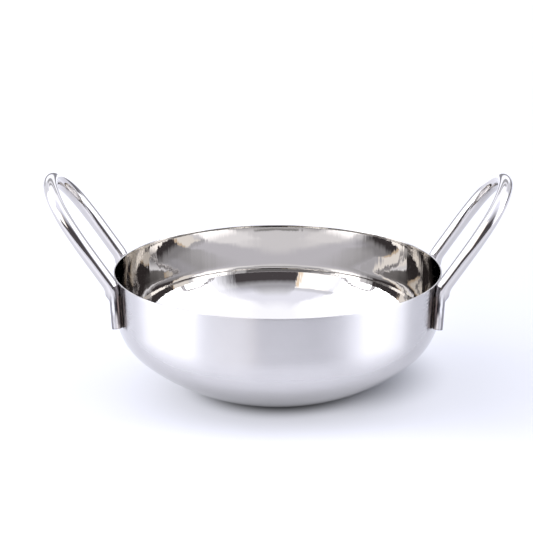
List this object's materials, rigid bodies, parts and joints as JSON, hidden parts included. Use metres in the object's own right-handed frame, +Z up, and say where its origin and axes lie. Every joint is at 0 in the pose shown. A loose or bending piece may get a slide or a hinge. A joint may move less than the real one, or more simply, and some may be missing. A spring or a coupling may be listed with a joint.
{
  "type": "kadai",
  "caption": "Deep steel cooking bowl with a small flat base, rounded lower wall and straight upper wall, and an upswept loop handle of bent rod welded to each side",
  "frame": {"origin": "centre of the flat base, on the surface that the bowl stands on", "axes": "+Z up along the bowl's axis, +X towards the right handle, +Y towards the rear"},
  "size_m": [0.254, 0.18, 0.1214],
  "materials": {
    "bowl_steel": "satin spun outside, mirror polished inside, polished lip",
    "handle_rod": "bright polished",
    "weld_steel": "dull, cleaned after welding"
  },
  "bodies": {
    "root": {"bowl": "bowl_steel", "handle_left": "handle_rod", "handle_right": "handle_rod", "weld_left_front": "weld_steel", "weld_left_rear": "weld_steel", "weld_right_front": "weld_steel", "weld_right_rear": "weld_steel"}
  },
  "joints": []
}
